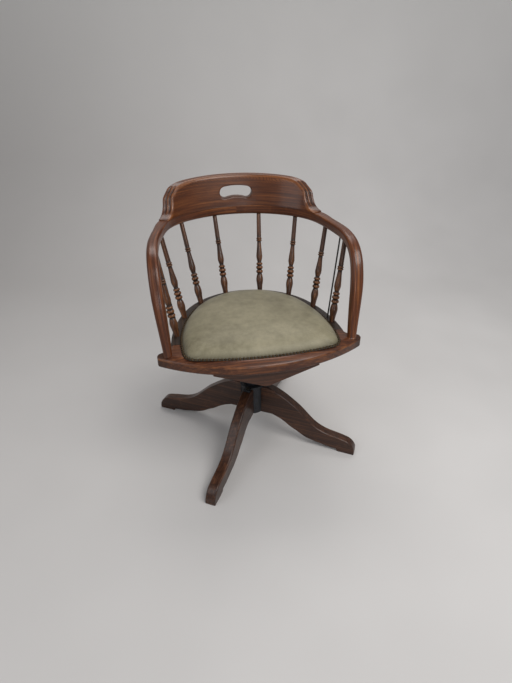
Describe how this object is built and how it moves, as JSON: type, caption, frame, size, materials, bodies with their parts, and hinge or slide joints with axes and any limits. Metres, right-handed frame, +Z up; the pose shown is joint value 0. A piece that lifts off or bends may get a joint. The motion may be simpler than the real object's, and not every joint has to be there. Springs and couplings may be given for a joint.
{
  "type": "swivel desk chair",
  "caption": "Bow-arm oak desk chair with a pierced crest rail, turned spindles and a nailed leather pad, on a sabre-leg base with a raising screw and a swivel.",
  "frame": {"origin": "on the floor under the swivel axis", "axes": "+Z up along the swivel axis, the front of the seat faces -Y, +X towards the sitter's left hand side"},
  "size_m": [0.6612, 0.6821, 0.8321],
  "materials": {
    "oak_crest": "waxed, warm brown with polished highlights",
    "oak_arm": "waxed, rubbed to orange brown on the arms",
    "oak_turned": "waxed, darker in the turned hollows",
    "oak_seat": "waxed, worn grey brown at the sides",
    "oak_leg": "waxed, dark brown",
    "oak_under": "thin finish, dusty",
    "beech_dowel": "plain",
    "black_iron": "black paint worn to a dark sheen",
    "bright_steel": "oiled",
    "dark_steel": "dulled",
    "sage_leather": "worn, sage to khaki",
    "antique_nail": "dark antique"
  },
  "bodies": {
    "base": {"leg_front": "oak_leg", "leg_left": "oak_leg", "leg_back": "oak_leg", "leg_right": "oak_leg", "hub_casting": "black_iron", "hub_bottom_plate": "black_iron", "leg_coach_screws": "dark_steel", "lift_key": "bright_steel"},
    "nut": {"capstan_nut": "black_iron"},
    "screw": {"lift_screw": "bright_steel", "thrust_washer": "bright_steel", "pivot_retainer": "bright_steel"},
    "seat": {"arm_bow": "oak_arm", "bearer_screws": "dark_steel", "crest_rail": "oak_crest", "crest_screws": "dark_steel", "frame_dowels": "beech_dowel", "front_bearer": "oak_under", "pad_nails": "antique_nail", "rear_bearer": "oak_under", "seat_back_rail": "oak_seat", "seat_board": "oak_under", "seat_front_rail": "oak_seat", "seat_left_rail": "oak_seat", "seat_pad": "sage_leather", "seat_right_rail": "oak_seat", "seat_spider": "black_iron", "spider_bolts": "dark_steel", "spindle_left_1": "oak_turned", "spindle_left_2": "oak_turned", "spindle_left_3": "oak_turned", "spindle_left_4": "oak_turned", "spindle_right_1": "oak_turned", "spindle_right_2": "oak_turned", "spindle_right_3": "oak_turned", "spindle_right_4": "oak_turned", "stay_nuts": "dark_steel", "stay_rod_left": "dark_steel", "stay_rod_right": "dark_steel"}
  },
  "joints": [
    {"name": "nut_turn", "type": "hinge", "parent": "base", "child": "nut", "pos_m": [0, 0, 0.225], "axis": [0, 0, 1], "range_deg": [0, 3600]},
    {"name": "seat_lift", "type": "slide", "parent": "base", "child": "screw", "axis": [0, 0, 1], "range_m": [0, 0.08]},
    {"name": "seat_swivel", "type": "hinge", "parent": "screw", "child": "seat", "pos_m": [0, 0, 0.248], "axis": [0, 0, 1], "continuous": true}
  ],
  "couplings": [
    {"joint": "nut_turn", "follows": "seat_lift", "rad_per_m": 785.4}
  ]
}
